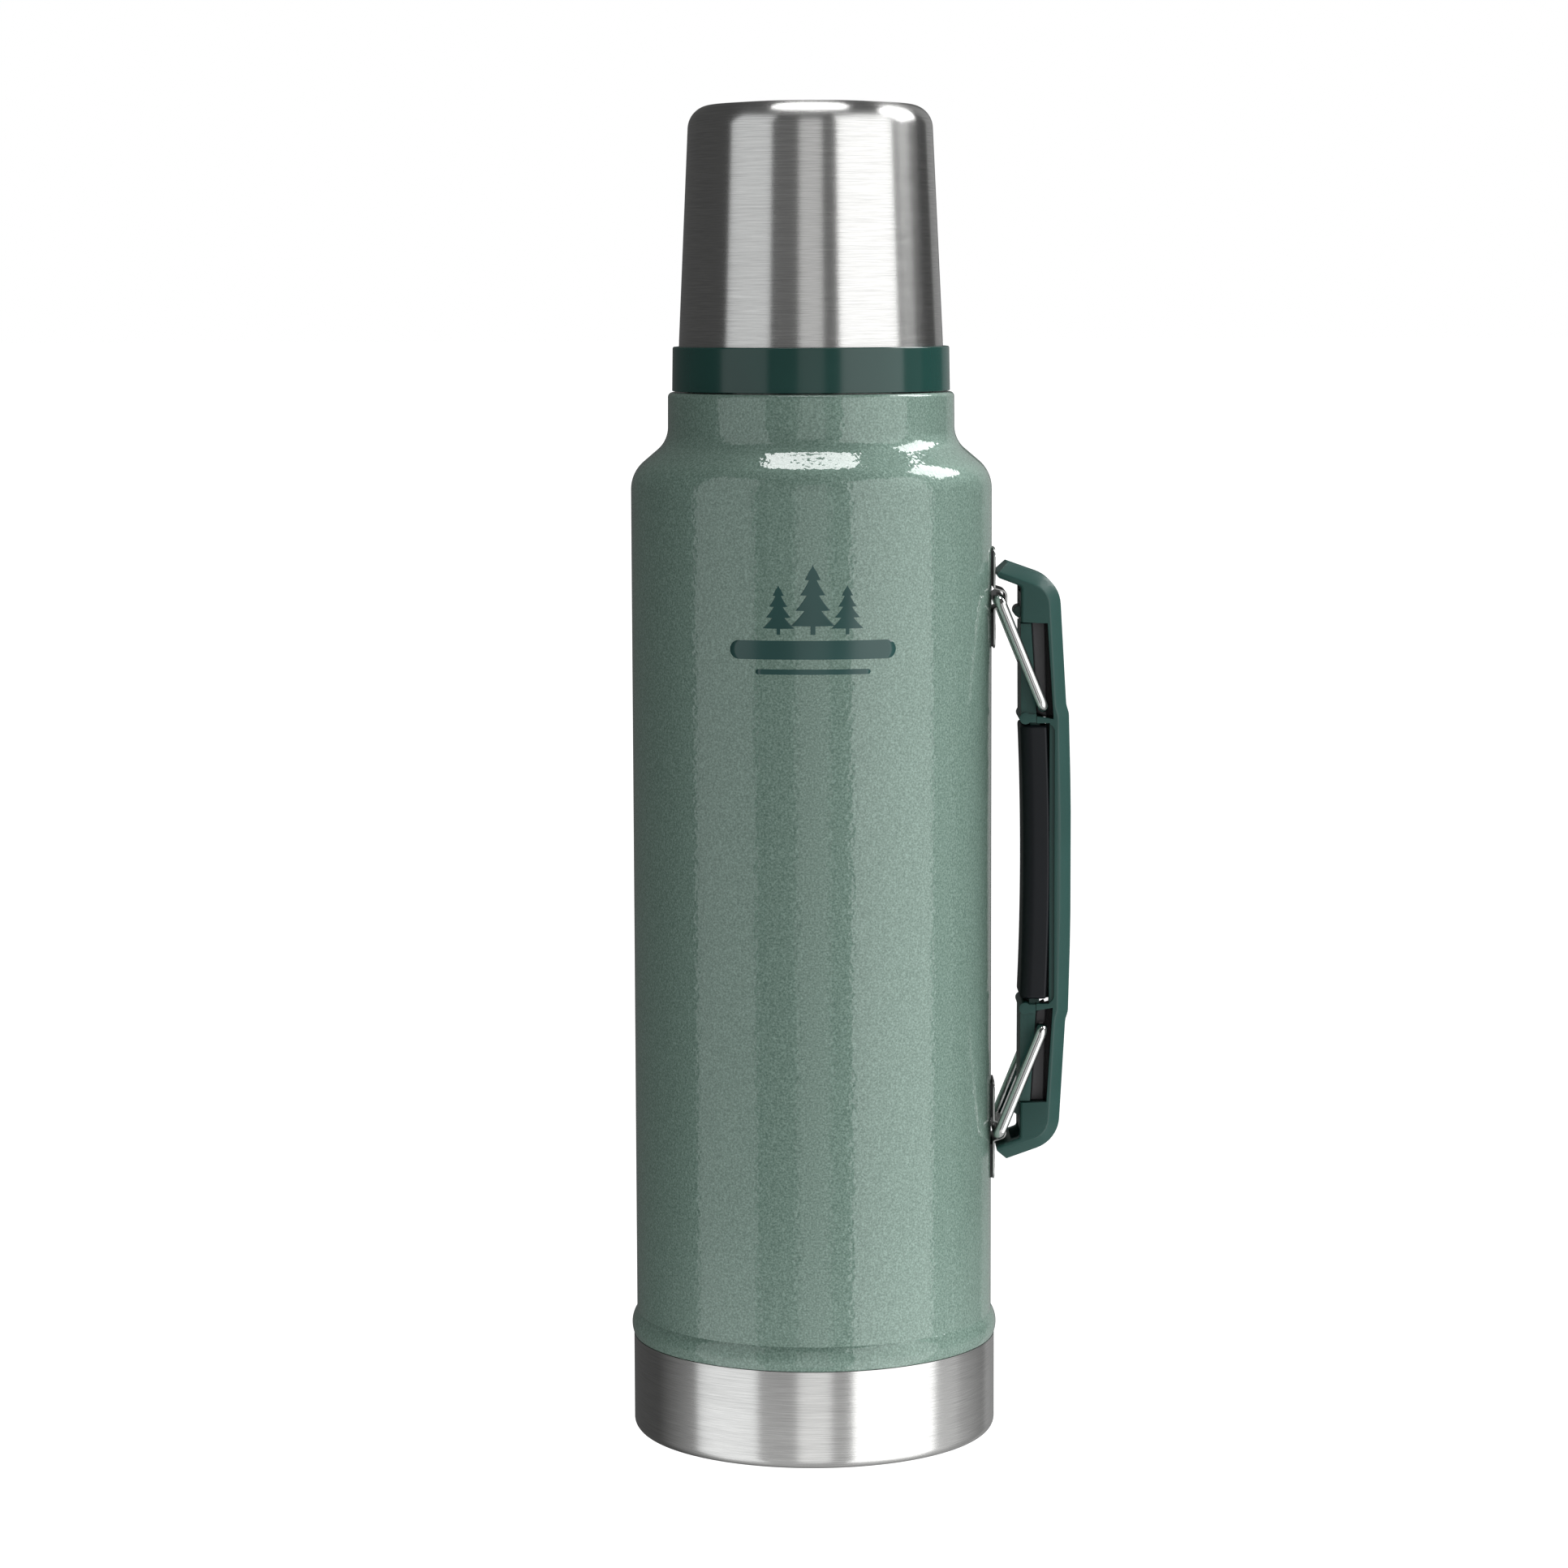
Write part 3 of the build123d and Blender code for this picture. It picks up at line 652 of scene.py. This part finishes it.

# %% [markdown]
# ## Window guides
# The floor that a wire end slides along is a plate with soft edges. It stops short of the outer wall,
# so a gap is left beside it, closed further in by the core that carries the plate. The core is
# finished in near-black pad rubber as painted shade for that gap.

# %% Window guides
def slab(name, corners, half, edge):
    """A flat plate: an outline of (x, z) corners, half thick each way along Y, with rounded edges."""
    count = len(corners)
    points = [(x, y, z) for y in (-half, half) for x, z in corners]
    sides = [(k, (k + 1) % count, (k + 1) % count + count, k + count) for k in range(count)]
    mesh = bpy.data.meshes.new(name)
    mesh.from_pydata(points, [], [tuple(range(count))[::-1], tuple(range(count, 2 * count))] + sides)
    piece = placed(name, mesh)
    capped(piece)
    mesh.shade_smooth()
    soft = piece.modifiers.new("edge", "BEVEL")
    soft.width, soft.segments, soft.harden_normals = edge, 5, True
    return piece


for place, way in (("upper", 1), ("lower", -1)):
    low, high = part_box(f"slot_guide_{place}")
    inner, outer = (low.z, high.z) if way > 0 else (high.z, low.z)
    foot = (low.x + 1.5 * MM, inner + way * 1.6 * MM)
    plate_line = [(low.x, outer), (low.x + 3.9 * MM, outer), (low.x + 4.5 * MM, inner), foot]
    plate = slab(f"window_guide_{place}", plate_line, high.y, 0.55 * MM)
    stands_for(plate, f"slot_guide_{place}")
    core_line = [(low.x, outer), (high.x - 0.9 * MM, outer), (high.x, inner), foot]
    # The core is near-black pad rubber as painted shade in the recess beside the plate.
    core = slab(f"guide_core_painted_shade_{place}", core_line, high.y - 1.6 * MM, 0.3 * MM)
    joins(core, "pad_rubber", "handle")

# %% [markdown]
# ## The grip
# The rubber is moulded round three sides of the handle's core, so its section is a deep C with soft
# corners. The section is carried along a shallow bow, and it draws in at both ends.

# %% Grip
grip_low, grip_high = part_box("handle_grip")
GRIP_BOW, GRIP_HALF, CORE_HALF = 0.85 * MM, 10.35 * MM, 8.0 * MM
GRIP_DEPTH, CORE_DEPTH = 7.2 * MM, 2.4 * MM


def grip_section(steps=6.0):
    """The C-shaped section, from the middle of its open side round the outside and back inside."""
    outside = rounded([(GRIP_DEPTH, CORE_HALF + 0.4 * MM), (GRIP_DEPTH, GRIP_HALF), (0, GRIP_HALF),
                       (0, -GRIP_HALF), (GRIP_DEPTH, -GRIP_HALF), (GRIP_DEPTH, -CORE_HALF - 0.4 * MM)],
                      [0.7 * MM, 3.4 * MM, 3.4 * MM, 0.7 * MM], steps)
    inside = rounded([(GRIP_DEPTH, -CORE_HALF), (CORE_DEPTH, -CORE_HALF), (CORE_DEPTH, CORE_HALF),
                      (GRIP_DEPTH, CORE_HALF)], [0.3 * MM, 0.3 * MM], steps)
    return np.concatenate([outside, inside])


def make_grip():
    """Rows along the height: each is the section, moved out by the bow and drawn in near the ends
    by 1 - sqrt(1 - s * s), where s runs from 0 to 1 over the last millimetre."""
    section = grip_section()
    span = grip_high.z - grip_low.z
    ease = np.linspace(0, math.pi / 2, 7)
    ends = 1.0 * MM * (1 - np.cos(ease))
    heights = np.concatenate([ends, np.linspace(1.2 * MM, span - 1.2 * MM, 60), span - ends[::-1]])
    drawn_in = 1.0 * MM * (1 - np.sin(ease))
    draw = np.concatenate([drawn_in, np.zeros(60), drawn_in[::-1]])
    centre = np.array([GRIP_DEPTH * 0.62, 0.0])
    outward = section - centre
    reach = np.linalg.norm(outward, axis=1, keepdims=True)
    outer = (np.abs(section[:, 1]) > CORE_HALF + 0.1 * MM) | (section[:, 0] < CORE_DEPTH - 0.1 * MM)
    pull = np.where(outer[:, None], outward / reach, 0.0)
    bow = GRIP_BOW * (1 - ((heights - span / 2) / (span / 2)) ** 2)
    flat = section[None] - draw[:, None, None] * pull[None]
    grid = np.empty((len(heights), len(section), 3))
    grid[..., 0] = grip_low.x + bow[:, None] + flat[..., 0]
    grid[..., 1] = flat[..., 1]
    grid[..., 2] = (grip_low.z + heights)[:, None]
    return grid[:, ::-1]


grip = grid_mesh("rubber_grip", make_grip())
capped(grip)
stands_for(grip, "handle_grip")

# %% [markdown]
# ## The print on the front
# The badge is a thin layer of dark ink. Its shapes are generic: three pine trees on a bar, with a
# fine line under it. Each is a strip whose half width is a formula of its height, bent round the body
# by turning the sideways distance into an angle.

# %% Printed badge
INK = 0.03 * MM
MATERIALS["ink"] = moulded("dark_green_ink", (0.022, 0.072, 0.066), 0.22, depth=0.1, drift=0.1)


def printed(name, middle, low, high, half_width, rows=120, columns=24):
    """A strip of ink: at height v from 0 to 1 it reaches half_width(v) each way from its middle, and
    the sideways distance s lies at the angle s / radius from the front."""
    v = np.linspace(0, 1, rows)
    u = np.linspace(-1, 1, columns)[None, :]
    sideways = middle + half_width(v)[:, None] * u
    radius = body_r + INK
    height = np.repeat((low + (high - low) * v)[:, None], columns, axis=1)
    turn = sideways / radius
    grid = np.stack([radius * np.sin(turn), -radius * np.cos(turn), height], axis=-1)
    index = np.arange(rows * columns).reshape(rows, columns)
    quads = np.stack([index[:-1, :-1], index[:-1, 1:], index[1:, 1:], index[1:, :-1]], -1)
    mesh = bpy.data.meshes.new(name)
    mesh.from_pydata(grid.reshape(-1, 3).tolist(), [], quads.reshape(-1, 4).tolist())
    mesh.shade_smooth()
    piece = placed(name, mesh)
    layer = piece.modifiers.new("ink layer", "SOLIDIFY")
    layer.thickness, layer.offset = 1.6 * INK, -1.0
    piece.data.materials.append(MATERIALS["ink"])
    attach(piece, "flask")
    report(piece)
    return piece


def pine(reach, tiers=4, trunk=0.12):
    """Half width of a pine: a trunk, then tiers that each narrow as they rise and widen again at the
    next tier, under one taper to the tip."""
    def half_width(v):
        crown = np.clip((v - trunk) / (1 - trunk), 0, 1)
        tier = crown * tiers - np.floor(np.minimum(crown * tiers, tiers - 1e-6))
        branches = reach * (1 - crown * 0.86) * (1 - 0.52 * tier)
        branches = np.where(crown >= 1, 0.01 * MM, branches)
        tapered = np.maximum(branches * np.minimum(1, (1 - crown) * 9), 0.01 * MM)
        return np.where(v < trunk, 0.11 * reach, tapered)
    return half_width


def rounded_bar(half_length, height):
    """Half width of a bar with round ends: its ends are half circles of its height."""
    def half_width(v):
        return half_length - height / 2 * (1 - np.sqrt(np.clip(1 - (2 * v - 1) ** 2, 0, 1)))
    return half_width


badge_z = 0.5 * (neck_top + band_top) + 71.6 * MM
PINES = [(-9.2, 13.2, 4.4), (0.0, 18.6, 6.0), (9.2, 13.2, 4.4)]      # middle, height, reach in mm
low = badge_z - 3.6 * MM
for number, (middle, tall, reach) in enumerate(PINES, start=1):
    printed(f"print_pine_{number}", middle * MM, low, low + tall * MM, pine(reach * MM), rows=220)
printed("print_bar", 0.0, badge_z - 10.2 * MM, badge_z - 5.2 * MM, rounded_bar(22.8 * MM, 5.0 * MM))
printed("print_line", 0.0, badge_z - 14.2 * MM, badge_z - 12.8 * MM, rounded_bar(15.5 * MM, 1.4 * MM),
        rows=24)

# %% [markdown]
# ## Studio
# The floor and the background are white. Tall soft lights stand to the left and right, because a
# glossy cylinder shows each as a long upright band, and one hangs above for the shoulder. Seen
# directly the floor is plain white. Light passes through it further out, as it does through a glass
# table, and close to the flask the floor glows as painted light in place of floor lit by the lamps;
# that glow is what the bare steel base reflects.

# %% Floor and world
floor_mesh = bpy.data.meshes.new("floor")
floor_mesh.from_pydata([(-30, -30, 0), (30, -30, 0), (30, 30, 0), (-30, 30, 0)], [], [(0, 1, 2, 3)])
floor = placed("floor", floor_mesh)
floor.location.z = -0.0002
floor_material, floor_tree, _ = new_material("floor_white", (0.8, 0.8, 0.8), 0.8)
links = floor_tree.links
# Painted light: close to the flask the floor glows for rays that are not camera rays, up to 0.5 and fading
# out by 0.36 m from the middle, in place of floor lit by the lamps.
place_on_floor = add_node(floor_tree, "ShaderNodeTexCoord")
distance = add_node(floor_tree, "ShaderNodeVectorMath", operation="LENGTH")
near = add_node(floor_tree, "ShaderNodeMapRange",
                {"From Min": 0.12, "From Max": 0.36, "To Min": 0.5, "To Max": 0.0})
arriving = add_node(floor_tree, "ShaderNodeNewGeometry")
lean = add_node(floor_tree, "ShaderNodeVectorMath", operation="DOT_PRODUCT")
lean.inputs[1].default_value = (-0.35, 1.0, 0.0)
front = add_node(floor_tree, "ShaderNodeMapRange",
                 {"From Min": -0.75, "From Max": 0.0, "To Min": 0.0, "To Max": 1.0})
share = add_node(floor_tree, "ShaderNodeMath", operation="MULTIPLY")
seen_directly = add_node(floor_tree, "ShaderNodeLightPath")
white = add_node(floor_tree, "ShaderNodeEmission", {"Color": (1, 1, 1, 1), "Strength": 1.2})
floor_glow = add_node(floor_tree, "ShaderNodeEmission", {"Color": (1, 1, 1, 1)})
clear = add_node(floor_tree, "ShaderNodeBsdfTransparent")
under = add_node(floor_tree, "ShaderNodeAddShader")
choice = add_node(floor_tree, "ShaderNodeMixShader")
links.new(place_on_floor.outputs["Object"], distance.inputs[0])
links.new(distance.outputs["Value"], near.inputs["Value"])
links.new(arriving.outputs["Incoming"], lean.inputs[0])
links.new(lean.outputs["Value"], front.inputs["Value"])
links.new(near.outputs["Result"], share.inputs[0])
links.new(front.outputs["Result"], share.inputs[1])
links.new(share.outputs["Value"], floor_glow.inputs["Strength"])
links.new(clear.outputs["BSDF"], under.inputs[0])
links.new(floor_glow.outputs["Emission"], under.inputs[1])
links.new(seen_directly.outputs["Is Camera Ray"], choice.inputs["Fac"])
links.new(under.outputs["Shader"], choice.inputs[1])
links.new(white.outputs["Emission"], choice.inputs[2])
links.new(choice.outputs["Shader"], floor_tree.nodes["Material Output"].inputs["Surface"])
floor_mesh.materials.append(floor_material)

world = bpy.data.worlds.new("studio")
world.use_nodes = True
bpy.context.scene.world = world
background = world.node_tree.nodes["Background"]
seen = add_node(world.node_tree, "ShaderNodeBackground", {"Color": (1, 1, 1, 1), "Strength": 1.0})
background.inputs["Color"].default_value = (1, 1, 1, 1)
background.inputs["Strength"].default_value = 0.085
path = add_node(world.node_tree, "ShaderNodeLightPath")
choose = add_node(world.node_tree, "ShaderNodeMixShader")
world.node_tree.links.new(path.outputs["Is Camera Ray"], choose.inputs["Fac"])
world.node_tree.links.new(background.outputs["Background"], choose.inputs[1])
world.node_tree.links.new(seen.outputs["Background"], choose.inputs[2])
world.node_tree.links.new(choose.outputs["Shader"], world.node_tree.nodes["World Output"].inputs["Surface"])


# %% Lights
def strip_light(name, azimuth, distance, width, height, middle, power, color=(1, 1, 1)):
    """A soft light that faces the flask. Azimuth is in degrees from the camera's side towards +X."""
    light = bpy.data.lights.new(name, "AREA")
    light.shape, light.size, light.size_y = "RECTANGLE", width, height
    light.energy, light.color = power, color
    holder = placed(name, light)
    turn = math.radians(azimuth)
    holder.location = (distance * math.sin(turn), -distance * math.cos(turn), middle)
    holder.rotation_euler = (math.pi / 2, 0, turn)
    holder.visible_camera = False
    return holder


strip_light("left_strip", -57, 1.0, 0.78, 2.6, 0.0, 5.0, (0.975, 0.99, 1.0))
strip_light("right_strip", 52.5, 1.05, 1.14, 2.6, 0.0, 15.5)
strip_light("middle_strip", 0, 1.6, 0.60, 2.6, 0.0, 2.9)
strip_light("front_fill", -5, 1.9, 1.9, 2.6, 0.0, 1.6)
strip_light("side_strip", 92, 1.2, 0.46, 2.6, 0.0, 0.8)
strip_light("rim_strip", 152, 1.2, 0.60, 2.6, 0.0, 1.2)
side_fill = strip_light("side_fill", 105, 1.2, 0.90, 2.6, 0.0, 13.0)
side_fill.visible_glossy = False
overhead = strip_light("overhead", 0, -0.12, 0.50, 0.38, 1.17, 4.6)
overhead.data.shape = "ELLIPSE"
overhead.rotation_euler = (math.radians(6), 0, 0)
high_right = strip_light("high_right", 112, 1.0, 0.6, 0.6, 1.10, 10.0)
high_right.rotation_euler = (math.radians(48), 0, math.radians(112))

# %% [markdown]
# ## Camera
# The camera stands a little above the flask's shoulder with a long lens, and it is a hair out of
# level.

# %% Camera
camera_data = bpy.data.cameras.new("camera")
camera_data.lens, camera_data.sensor_width = 99.5, 36.0
camera_data.clip_start, camera_data.clip_end = 0.01, 100.0
camera = placed("camera", camera_data)
camera.location = (-0.00782, -1.1915, 0.3146)
PITCH, ROLL = 6.408, -0.2249
camera.rotation_euler = (Matrix.Rotation(math.radians(90 - PITCH), 3, "X")
                         @ Matrix.Rotation(math.radians(ROLL), 3, "Z")).to_euler("XYZ")
bpy.context.scene.camera = camera
bpy.context.scene.view_settings.view_transform = "Standard"
